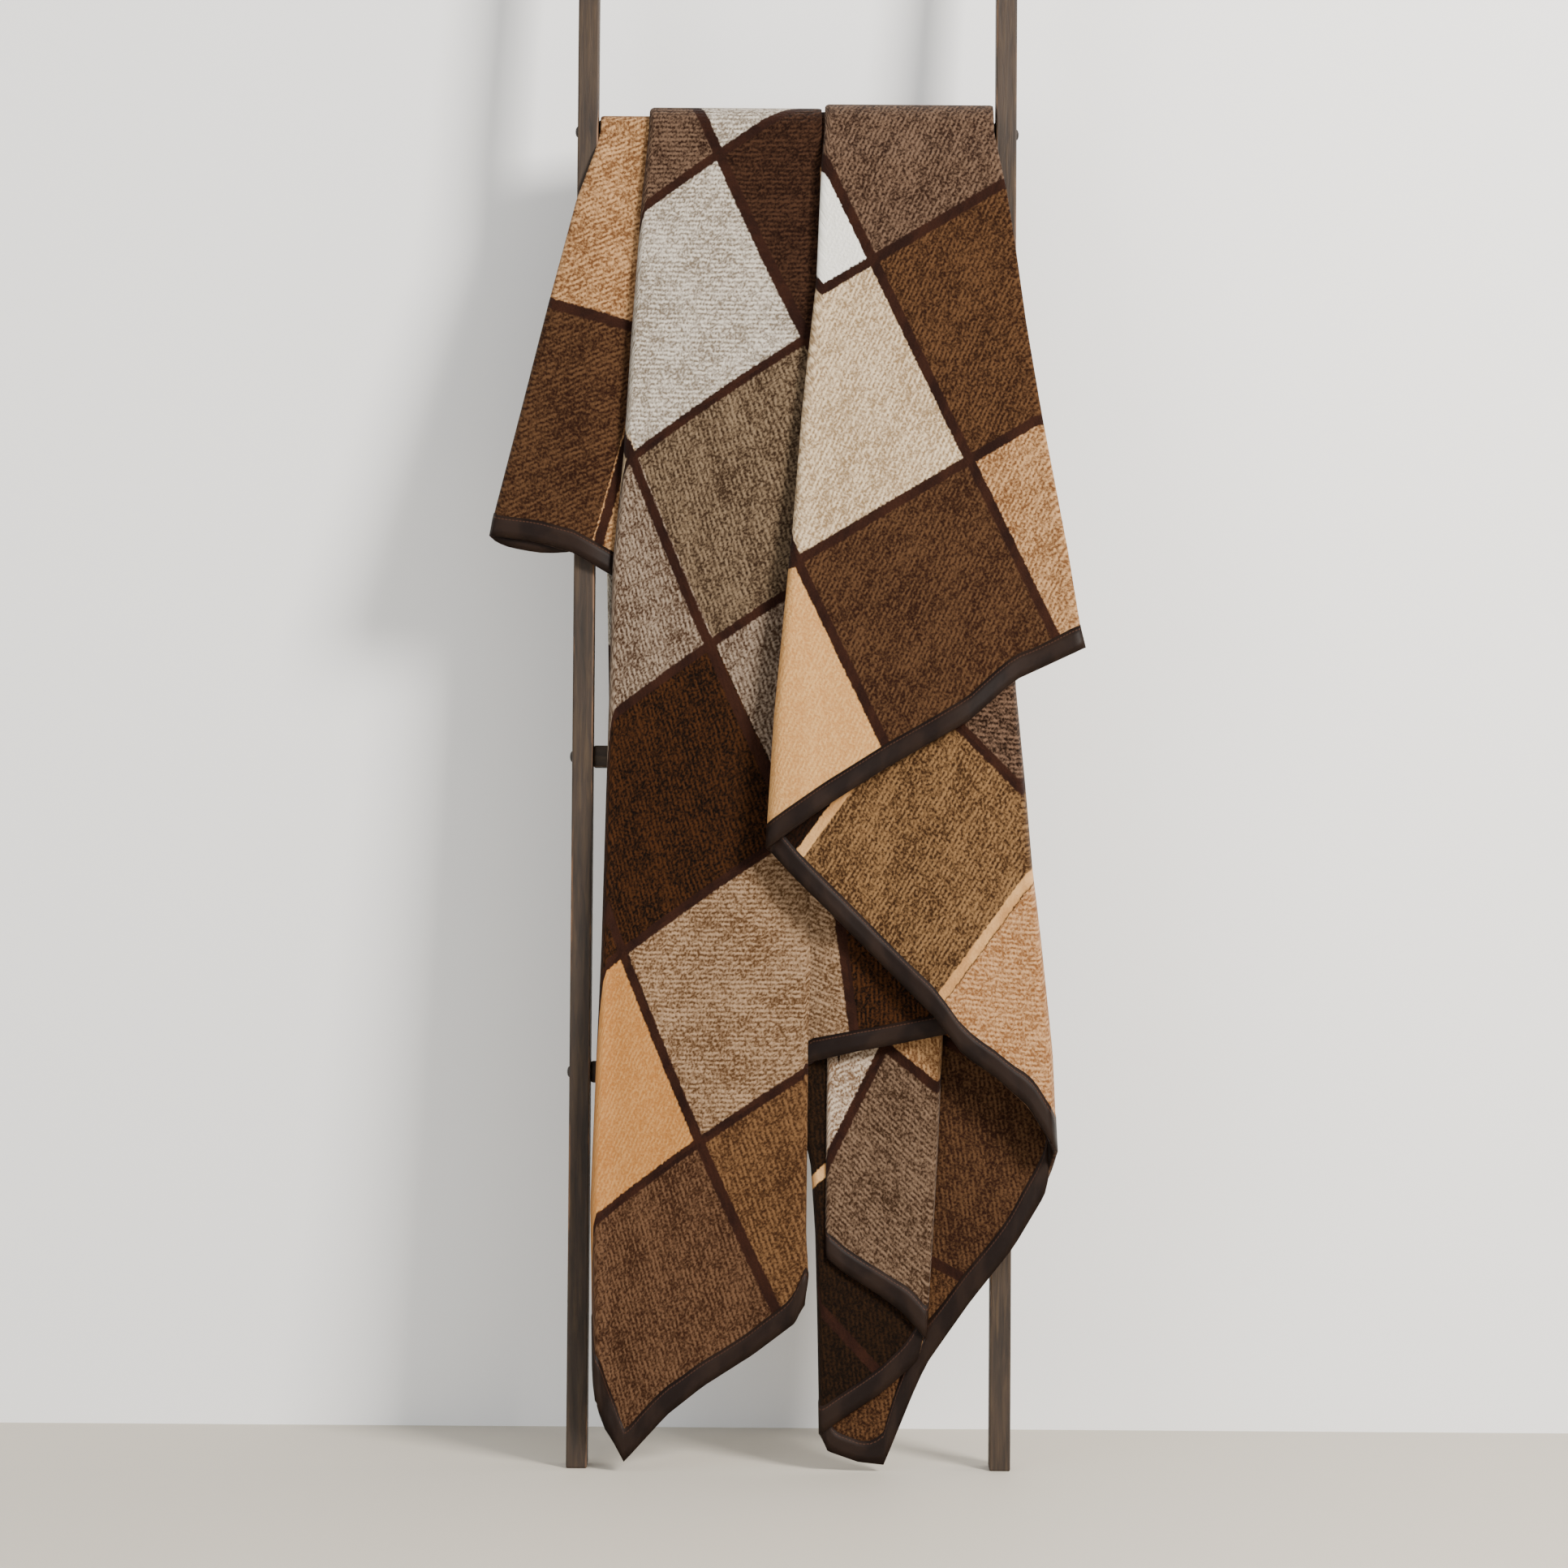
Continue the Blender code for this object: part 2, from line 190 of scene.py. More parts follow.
# ---------------------------------------------------------------- quilt
# One square of plush cloth, 2.286 m (90 in) each way, thrown over the top rung on the bias.
# It runs from crease to crease and turns back at each, so it lies in overlapping falls before
# and behind the ladder. Short pile, woven in patches of two flecked yarns with plain bars.
CLOTH_SIDE = 2.286
PATCHES_ALONG = 10
PATCH_LONG = 0.254
PATCH_SHORT = CLOTH_SIDE / PATCHES_ALONG
FRONT_ROWS = 118
WRAP_ROWS = 10
BACK_ROWS = 46
BAND_ROWS = 3
BINDING_WIDTH = 0.024
CLOTH_THICK = 0.0036
CLOTH_THICK_AT_RUNG = 0.0018
ROWS_TO_FULL_THICK = 14.0

# A crease is a fold line. front: (up, across) from the rung to the hem, on the ladder.
# back: where it ends behind, (across, length below the rung).
Crease = namedtuple("Crease", "back front")
CREASES = {
    "start_edge": Crease(back=(-0.100, 0.700), front=[
        (1.540, -0.175), (1.060, -0.175)]),
    "flap_edge": Crease(back=(-0.212, 0.800), front=[
        (1.540, -0.2265), (1.510, -0.233), (1.455, -0.253), (1.339, -0.283), (1.221, -0.312),
        (1.088, -0.345), (1.060, -0.350)]),
    "behind_long": Crease(back=(-0.070, 0.670), front=[
        (1.540, -0.125), (0.900, -0.120)]),
    "long_left": Crease(back=(-0.190, 0.790), front=[
        (1.540, -0.170), (1.449, -0.178), (1.297, -0.188), (1.156, -0.196), (1.037, -0.207),
        (0.871, -0.210), (0.585, -0.216), (0.481, -0.220), (0.298, -0.226), (0.218, -0.224),
        (0.119, -0.222)]),
    "long_right": Crease(back=(0.060, 0.720), front=[
        (1.540, 0.028), (1.200, 0.028), (0.900, 0.024), (0.644, 0.020), (0.574, 0.022), (0.484, 0.019),
        (0.266, 0.018), (0.221, 0.021), (0.187, 0.016)]),
    "long_inner": Crease(back=(-0.110, 0.800), front=[
        (1.540, -0.130), (0.900, -0.140), (0.327, -0.150)]),
    "middle_right": Crease(back=(0.170, 0.690), front=[
        (1.540, 0.195), (0.900, 0.200), (0.500, 0.200)]),
    "roll_left": Crease(back=(0.080, 0.780), front=[
        (1.540, 0.045), (0.900, 0.044), (0.460, 0.043), (0.266, 0.042), (0.240, 0.043)]),
    "roll_right": Crease(back=(0.150, 0.680), front=[
        (1.540, 0.185), (0.800, 0.176), (0.489, 0.172), (0.364, 0.167), (0.265, 0.162),
        (0.150, 0.155)]),
    "inner_left": Crease(back=(0.020, 0.790), front=[
        (1.540, 0.042), (0.900, 0.020), (0.440, 0.010), (0.385, 0.015), (0.350, 0.025), (0.266, 0.031),
        (0.166, 0.034), (0.040, 0.037)]),
    "turned_right": Crease(back=(0.206, 0.730), front=[
        (1.540, 0.2265), (1.500, 0.231), (1.300, 0.238), (1.050, 0.247), (0.896, 0.253), (0.776, 0.265),
        (0.686, 0.273), (0.606, 0.283), (0.477, 0.297), (0.398, 0.301), (0.363, 0.303)]),
    "front_left": Crease(back=(-0.010, 0.620), front=[
        (1.540, 0.033), (1.498, 0.030), (1.362, 0.025), (1.287, 0.017), (1.206, 0.009), (1.081, 0.000),
        (0.860, -0.020), (0.738, -0.027), (0.706, -0.028)]),
    "front_right": Crease(back=(0.212, 0.820), front=[
        (1.540, 0.2265), (1.505, 0.233), (1.468, 0.241), (1.420, 0.249), (1.315, 0.264), (1.204, 0.283),
        (1.049, 0.312), (0.961, 0.326), (0.937, 0.332)]),
    "end_edge": Crease(back=(0.130, 0.710), front=[
        (1.540, 0.120), (1.060, 0.120)]),
}

# Each fall: the creases that it runs between, its columns, its place in the pile on the left
# and right of the ladder (0 lies on the rungs), how the patches lie on it, and its hem as
# (across, up). Patches are counted along and up the cloth as start + across * a + up * b +
# across ** 2 * c; a name mirrors that fall's, and None runs on between its neighbours.
Fall = namedtuple("Fall", "name first second columns order cells hem")
FALLS = [
    Fall("flap_back", "start_edge", "flap_edge", 18, (0, None),
         "flap_front", [
             (-0.350, 1.066), (-0.343, 1.059), (-0.330, 1.054), (-0.312, 1.050), (-0.290, 1.047),
             (-0.268, 1.047), (-0.250, 1.050), (-0.225, 1.059), (-0.170, 1.088)]),
    Fall("flap_front", "flap_edge", "behind_long", 18, (1, None),
         ((-0.14, -4.23, 1.12, 0.00), (12.36, -0.92, -3.46, 0.00)), [
             (-0.350, 1.066), (-0.300, 1.060), (-0.255, 1.047), (-0.210, 1.022), (-0.120, 0.970)]),
    Fall("flap_return", "behind_long", "long_left", 9, (2, None),
         None, [
             (-0.222, 0.119), (-0.120, 0.970)]),
    Fall("long_front", "long_left", "long_right", 44, (5, None),
         ((0.74, 3.35, 1.71, -2.60), (-0.56, -2.24, 3.54, 1.30)), [
             (-0.222, 0.119), (-0.220, 0.079), (-0.208, 0.045), (-0.187, 0.007), (-0.138, 0.061),
             (-0.098, 0.093), (-0.043, 0.128), (0.007, 0.166), (0.016, 0.187)]),
    Fall("long_return", "long_right", "long_inner", 9, (4, None),
         None, [
             (-0.150, 0.327), (0.016, 0.187)]),
    Fall("middle_front", "long_inner", "middle_right", 22, (3, 4),
         ((2.41, 4.34, 0.56, 0.00), (-1.76, -0.82, 3.85, 0.00)), [
             (-0.150, 0.327), (0.018, 0.462), (0.071, 0.475), (0.109, 0.482), (0.173, 0.495),
             (0.200, 0.500)]),
    Fall("middle_return", "middle_right", "roll_left", 14, (None, 3),
         None, [
             (0.043, 0.240), (0.049, 0.300), (0.056, 0.470), (0.066, 0.520), (0.200, 0.510)]),
    Fall("roll_front", "roll_left", "roll_right", 20, (None, 2),
         ((10.94, -2.74, -3.41, 0.00), (7.46, 3.53, -1.74, 0.00)), [
             (0.043, 0.240), (0.059, 0.226), (0.106, 0.196), (0.130, 0.178), (0.155, 0.150)]),
    Fall("inner_back", "roll_right", "inner_left", 18, (None, 1),
         ((9.97, 2.98, -3.20, 0.00), (8.59, -2.87, -2.68, 0.00)), [
             (0.037, 0.040), (0.055, 0.053), (0.106, 0.087), (0.146, 0.122), (0.155, 0.150)]),
    Fall("return_front", "inner_left", "turned_right", 46, (None, 0),
         ((10.25, -2.07, -3.85, 0.00), (8.65, 3.46, -1.87, 0.00)), [
             (0.037, 0.040), (0.045, 0.020), (0.080, 0.008), (0.109, 0.005), (0.128, 0.052),
             (0.146, 0.096), (0.158, 0.121), (0.206, 0.190), (0.256, 0.254), (0.291, 0.313),
             (0.303, 0.363)]),
    Fall("turned_back", "turned_right", "front_left", 34, (None, 5),
         ((7.79, 3.57, -2.60, 0.00), (10.86, -2.76, -2.76, 0.00)), [
             (-0.028, 0.706), (0.005, 0.670), (0.059, 0.618), (0.163, 0.515), (0.197, 0.471),
             (0.232, 0.448), (0.271, 0.413), (0.294, 0.376), (0.303, 0.363)]),
    Fall("front_front", "front_left", "front_right", 36, (None, 7),
         ((6.98, -3.94, -1.90, 0.00), (11.45, 2.02, -3.34, 0.00)), [
             (-0.028, 0.706), (0.035, 0.752), (0.111, 0.801), (0.200, 0.852), (0.253, 0.900),
             (0.332, 0.937)]),
    Fall("front_return", "front_right", "end_edge", 9, (None, 6),
         "front_front", [
             (0.120, 1.090), (0.332, 0.937)]),
]

# how far the innermost fall lies from the rungs' middle, and how far apart falls lie: (up, out)
INNERMOST_OUT = 0.0136
PITCH_AT_RUNG = 0.0026
LEFT_BASE = [(1.540, INNERMOST_OUT), (0.0, 0.0138)]
LEFT_PITCH = [(1.540, PITCH_AT_RUNG), (1.300, 0.0042), (0.0, 0.0050)]
RIGHT_BASE = [(1.540, INNERMOST_OUT), (1.505, 0.0236), (0.950, 0.0245), (0.0, 0.0245)]
RIGHT_PITCH = [(1.540, PITCH_AT_RUNG), (1.500, 0.0030), (0.950, 0.0056), (0.0, 0.0060)]
BEFORE_RAIL = 0.0236
BEFORE_RAIL_SPREAD = 1.2
# the outer falls on the right stand further forward, by their place in the pile
SWELL = {4: 0.008, 5: 0.024, 6: 0.027, 7: 0.030}
# the fall at place 3 drops behind the rolled fall below this height
TUCKED_PLACE = 3
BEHIND_ROLL = 1.5
TUCKED_FROM = (0.50, 0.58)

HEM_ROUNDS = 30
SLOPE_REACH = 0.004
WIDEST_BAND = 2.2
TURN_REACH = 0.085
# over the rung: 1 is a round turn, less is flatter-sided
FLATTEST_TURN = 0.62
ROUND_FROM = (0.013, 0.032)
BACK_BAND = 0.026
LONGEST_BACK = 0.82
BACK_SPREAD = 0.0018
BACK_FLUTE = 0.006


def on_ladder(across, up, out):
    """World place of numpy arrays or numbers given in the ladder's frame."""
    x = centre_x + across
    y = foot_y + up * math.sin(lean) - out * math.cos(lean)
    z = up * math.cos(lean) + out * math.sin(lean)
    return x, y, z


def read(stations, at):
    """A value between (place, value) stations. It stays level past the last one."""
    places, values = np.array(sorted(stations)).T
    return np.interp(at, places, values)


def across_of(crease, up):
    return read(CREASES[crease].front, up)


def smooth(value, low, high):
    t = np.clip((value - low) / (high - low), 0.0, 1.0)
    return t * t * (3 - 2 * t)


def ease(place):
    """Crowds the columns at both creases, where the cloth turns round."""
    return (1 - np.cos(np.pi * place)) / 2


def pile_out(order, across, up):
    """How far out a fall's middle lies, from its places in the left and the right pile."""
    left, right = order
    swell = SWELL.get(right, 0.0)
    if right == TUCKED_PLACE:
        right = BEHIND_ROLL + (right - BEHIND_ROLL) * smooth(up, *TUCKED_FROM)
    if left is not None:
        left_pitch = read(LEFT_PITCH, up)
        inner = read(LEFT_BASE, up) + (left + 0.5) * left_pitch
    if right is None:
        before_rail = np.maximum(inner, BEFORE_RAIL + (left + 0.5) * left_pitch * BEFORE_RAIL_SPREAD)
        over_rail = smooth(-across, 0.200, 0.226) * smooth(-up, -1.535, -1.505)
        return inner + (before_rail - inner) * over_rail
    outer = read(RIGHT_BASE, up) + (right + 0.5) * read(RIGHT_PITCH, up)
    outer = outer + swell * smooth(-up, -1.30, -0.72) * smooth(across, -0.10, 0.02)
    if left is None:
        return outer
    return inner + (outer - inner) * smooth(across, 0.005, 0.060)


def billow(across, up):
    """Soft flutes that all falls share, so that they nest: none at the rung, more lower down."""
    grow = smooth(-up, -1.50, -0.60)
    flute = np.sin(across * 31.0 + up * 2.2 + 0.6) + 0.6 * np.sin(across * 54.0 - up * 5.1 + 2.0)
    roll = np.sin(up * 7.3 + across * 9.0) * np.cos(up * 3.1 - across * 14.0)
    return grow * (0.0050 + 0.0022 * flute + 0.0014 * roll)


def patches_at(cells, across, up):
    """Place on the flat cloth, in patches: along it and up it."""
    return [start + a * across + b * up + c * across ** 2 for start, a, b, c in cells]


def lay_column(fall, place):
    """A column's share of the way from crease to crease, and its hem's height and band."""
    share = float(ease(place))
    hem_up = 1.0
    for _ in range(HEM_ROUNDS):
        start = across_of(fall.first, hem_up)
        edge = start + (across_of(fall.second, hem_up) - start) * share
        hem_up = 0.5 * hem_up + 0.5 * float(read(fall.hem, edge))
    slope = (read(fall.hem, edge + SLOPE_REACH) - read(fall.hem, edge - SLOPE_REACH)) / (2 * SLOPE_REACH)
    return share, hem_up, BINDING_WIDTH * min(math.hypot(1.0, slope), WIDEST_BAND)


def turn_share(place, index):
    """How far a column near a crease leans towards the neighbouring fall, and which one."""
    if place < TURN_REACH and index > 0:
        return (1 - place / TURN_REACH) / 2, index - 1
    if place > 1 - TURN_REACH and index < len(FALLS) - 1:
        return (1 - (1 - place) / TURN_REACH) / 2, index + 1
    return 0.0, index


def rows_to_hem(length, band, free_rows):
    """Lengths down a column: even rows, then the rows of the bound edge."""
    bound = length - band + band * np.arange(1, BAND_ROWS + 1) / BAND_ROWS
    return np.concatenate([np.linspace(0.0, length - band, free_rows), bound])


cells_of = {fall.name: fall.cells for fall in FALLS}
columns = [(index, k / fall.columns) for index, fall in enumerate(FALLS) for k in range(fall.columns)]
columns.append((len(FALLS) - 1, 1.0))
laid = np.array([lay_column(FALLS[index], place) for index, place in columns])
band_width = laid[:, 2]
for _ in range(3):
    band_width[1:-1] = (band_width[:-2] + 2 * band_width[1:-1] + band_width[2:]) / 4

rows = FRONT_ROWS + WRAP_ROWS + BACK_ROWS
grid = np.zeros((rows, len(columns), 3))
cloth_cells = np.zeros((rows, len(columns), 2))
from_rung = np.abs(np.arange(rows) - FRONT_ROWS - WRAP_ROWS / 2) / ROWS_TO_FULL_THICK
thick = CLOTH_THICK_AT_RUNG + (CLOTH_THICK - CLOTH_THICK_AT_RUNG) * np.minimum(from_rung, 1.0)
half_thick = np.repeat(thick[:, None] / 2, len(columns), axis=1)

for j, (index, place) in enumerate(columns):
    fall = FALLS[index]
    share, hem_up, band = laid[j]
    lean_share, neighbour = turn_share(place, index)

    # down the front, from the rung to the hem
    up = rung_up - rows_to_hem(rung_up - hem_up, band, FRONT_ROWS - BAND_ROWS)
    start = across_of(fall.first, up)
    across = start + (across_of(fall.second, up) - start) * share
    out = pile_out(fall.order, across, up)
    if lean_share:
        out = out + (pile_out(FALLS[neighbour].order, across, up) - out) * lean_share
    rung_out = out[0]
    out = out + billow(across, up)
    grid[:FRONT_ROWS, j] = np.stack(on_ladder(across, up, out), -1)[::-1]

    # over the rung: flat-sided close to the wood, rounder the further out the fall lies
    angle = np.pi * np.arange(1, WRAP_ROWS + 1) / (WRAP_ROWS + 1)
    turn = FLATTEST_TURN + (1 - FLATTEST_TURN) * smooth(rung_out, *ROUND_FROM)
    wrap_out = rung_out * np.sign(np.cos(angle)) * np.abs(np.cos(angle)) ** turn
    wrap_up = rung_up + rung_out * np.sin(angle) ** turn
    wrap = on_ladder(np.full(WRAP_ROWS, across[0]), wrap_up, wrap_out)
    grid[FRONT_ROWS:FRONT_ROWS + WRAP_ROWS, j] = np.stack(wrap, -1)

    # plumb down behind
    start, end = CREASES[fall.first].back, CREASES[fall.second].back
    back_across, back_length = [a + (b - a) * share for a, b in zip(start, end)]
    drop = rows_to_hem(back_length, BACK_BAND, BACK_ROWS - BAND_ROWS + 1)[1:]
    down = drop / LONGEST_BACK
    back_x = across[0] + (back_across - across[0]) * smooth(down, 0.0, 1.0)
    pile = (rung_out - INNERMOST_OUT) / PITCH_AT_RUNG
    flute = BACK_FLUTE * smooth(down, 0.05, 0.8) * (1 + np.sin(back_x * 38.0 + drop * 2.5))
    back_y = top_rung.y + rung_out + down * pile * BACK_SPREAD + flute
    grid[FRONT_ROWS + WRAP_ROWS:, j] = np.stack([centre_x + back_x, back_y, top_rung.z - drop], -1)

    # where each point is on the flat cloth, in patches
    flat_up = np.concatenate([up[::-1], rung_up + rung_out * angle, rung_up + rung_out * math.pi + drop])
    flat_across = np.concatenate([across[::-1], np.full(WRAP_ROWS, across[0]), back_x])
    if isinstance(fall.cells, str):
        fold = fall.first if index else fall.second
        found = patches_at(cells_of[fall.cells], 2 * across_of(fold, flat_up) - flat_across, flat_up)
    elif fall.cells is None:
        ends = [
            patches_at(FALLS[index + step].cells, across_of(crease, flat_up), flat_up)
            for step, crease in ((-1, fall.first), (1, fall.second))
        ]
        found = [a + (b - a) * share for a, b in zip(*ends)]
    else:
        found = patches_at(fall.cells, flat_across, flat_up)
        if lean_share and isinstance(FALLS[neighbour].cells, tuple):
            beside = patches_at(FALLS[neighbour].cells, flat_across, flat_up)
            found = [a + (b - a) * lean_share for a, b in zip(found, beside)]
    cloth_cells[:, j] = np.stack(found, -1)

# round each crease the print runs on by the cloth's own length
for index in range(1, len(FALLS)):
    start = sum(other.columns for other in FALLS[:index])
    before = start - max(2, int(TURN_REACH * FALLS[index - 1].columns) + 1)
    after = start + max(2, int(TURN_REACH * FALLS[index].columns) + 1)
    steps = np.linalg.norm(np.diff(grid[:, before:after + 1], axis=1), axis=-1)
    run = np.concatenate([np.zeros((rows, 1)), np.cumsum(steps, axis=1)], axis=1)
    share = (run / run[:, -1:])[..., None]
    turned = cloth_cells[:, before, None] * (1 - share) + cloth_cells[:, after, None] * share
    cloth_cells[:, before:after + 1] = turned


def surface_normals(points):
    """Unit normals of a grid of points, turned towards the face side of the cloth."""
    down = np.gradient(points, axis=0)
    over = np.gradient(points, axis=1)
    normal = np.cross(over, -down)
    size = np.linalg.norm(normal, axis=-1, keepdims=True)
    return -normal / np.maximum(size, 1e-9)


def shell(name, points, normals, half, uv, keep=None):
    """A closed cloth: the grid moved out and in by half, joined round every open edge."""
    rows, count = points.shape[:2]
    face_side = points + normals * half[..., None]
    back_side = points - normals * half[..., None]
    places = np.concatenate([face_side.reshape(-1, 3), back_side.reshape(-1, 3)])
    number_of = np.arange(rows * count).reshape(rows, count)
    quads = np.stack([number_of[:-1, :-1], number_of[:-1, 1:], number_of[1:, 1:], number_of[1:, :-1]], -1)
    kept = np.ones(quads.shape[:2], bool) if keep is None else keep
    top = quads[kept]
    base = top[:, ::-1] + rows * count
    edges = {}
    for quad in top:
        for k in range(4):
            edges[(quad[k], quad[(k + 1) % 4])] = True
    rim = []
    for start, end in edges:
        if (end, start) not in edges:
            rim.append((end, start, start + rows * count, end + rows * count))
    faces = np.concatenate([top, base, np.array(rim)])
    used = np.unique(faces)
    renumber = np.full(len(places), -1)
    renumber[used] = np.arange(len(used))
    faces = renumber[faces]
    mesh = bpy.data.meshes.new(name)
    mesh.from_pydata(places[used].tolist(), [], faces.tolist())
    layer = mesh.uv_layers.new(name="cloth")
    flat = np.concatenate([uv.reshape(-1, 2), uv.reshape(-1, 2)])[used]
    loops = np.zeros(len(mesh.loops), int)
    mesh.loops.foreach_get("vertex_index", loops)
    layer.data.foreach_set("uv", flat[loops].astype(np.float32).ravel())
    sides = np.zeros(len(mesh.polygons), int)
    sides[len(top):2 * len(top)] = 1
    mesh.polygons.foreach_set("material_index", sides)
    mesh.polygons.foreach_set("use_smooth", np.ones(len(mesh.polygons), bool))
    mesh.update()
    made = bpy.data.objects.new(name, mesh)
    bpy.context.collection.objects.link(made)
    return made


# name: darker yarn, lighter yarn, which of ROW_WAYS its rows run
WEAVES = {
    "taupe": ("#281509", "#5d432f", 2), "nut": ("#2f1b0c", "#6a4c30", 2), "camel": ("#936131", "#ab7d4a", 1),
    "sand": ("#48301a", "#977c61", 0), "choc": ("#060200", "#3a200c", 2), "stone": ("#352316", "#8a7968", 2),
    "umber": ("#291b10", "#72604b", 2), "pearl": ("#665a4c", "#c1b8aa", 0), "dark": ("#160702", "#3a2518", 0),
    "ash": ("#1e0e06", "#614c3c", 0), "ivory": ("#d8d5cb", "#e4e1d9", 1), "cream": ("#7d664a", "#cbb595", 1),
    "brown": ("#1f0e05", "#523822", 1), "tan": ("#5b3a20", "#ad865d", 1), "cocoa": ("#1f0d05", "#4d3521", 1),
    "honey": ("#ab7a47", "#c1955f", 1), "grey": ("#29190d", "#6c5745", 2), "fawn": ("#5b4430", "#b6a490", 0),
    # The last weave on the next line is dark reverse yarn darkened further as painted shade, for falls that
    # lie recessed in the folds.
    "olive": ("#2b190a", "#7a5c3c", 2), "rose": ("#704828", "#b58c63", 0), "soot": ("#060200", "#1c0b02", 2),
    # The first weave on the next line is dark reverse yarn darkened further as painted shade, for falls that
    # lie recessed in the folds.
    "moss": ("#0a0401", "#241508", 1), "bark": ("#170a03", "#644d3d", 0), "smoke": ("#21120a", "#624d3d", 1),
}
# rows go up the cloth, patches along it
PATCHES = [
    "taupe nut sand choc tan umber camel brown sand stone",
    "camel sand cocoa pearl nut ash cream taupe choc tan",
    "choc choc stone camel brown sand umber ivory nut cocoa",
    "pearl stone umber tan sand choc camel ash pearl brown",
    "nut cream pearl dark stone tan brown cream cocoa taupe",
    "choc tan ash pearl camel umber pearl choc sand honey",
    "sand umber nut smoke ivory brown tan taupe camel fawn",
    "brown cream tan brown cream choc ash stone tan grey",
    "honey tan cocoa tan cocoa honey nut rose cocoa brown",
]
# On the reverse, the patches in the two near-black weaves are dark yarn with painted shade added, where those
# falls lie recessed behind the folds.
REVERSE_PATCHES = PATCHES[:6] + [
    "sand umber nut brown umber bark bark taupe soot soot",
    "brown cream tan brown cream choc bark olive moss moss",
    "honey tan cocoa tan cocoa soot olive rose moss moss",
]
ROW_WAYS = (-36.0, 36.0, 84.0)
ROW_PITCH = 0.0052
DASH_LENGTH = 0.0105
# the bars between patches are about 12 mm wide, with a soft edge
BAR_EDGE = (0.0048, 0.0066)
# the noise that roughens a patch's edge is this many patches wide
FRAY = 0.014


def patch_value(tree, along, up, table, which):
    """Looks up a patch's yarn or way: one stepped ramp for each row of patches, picked by row."""
    share = node(tree, "Math", "DIVIDE", along, float(PATCHES_ALONG))
    found = None
    for row, names in enumerate(table):
        ramp = node(tree, "ValToRGB", share)
        ramp.node.color_ramp.interpolation = "CONSTANT"
        stops = ramp.node.color_ramp.elements
        for k, patch in enumerate(names.split()):
            value = WEAVES[patch][which]
            stop = stops[k] if k < 2 else stops.new(k / PATCHES_ALONG)
            stop.position = k / PATCHES_ALONG
            stop.color = linear(value) if which < 2 else (value / 2, value / 2, value / 2, 1.0)
        if found is None:
            found = ramp
        else:
            reached = node(tree, "Math", "GREATER_THAN", up, float(row))
            found = node(tree, "Mix", reached, i6=found, i7=ramp, **COLOURS)
    return found


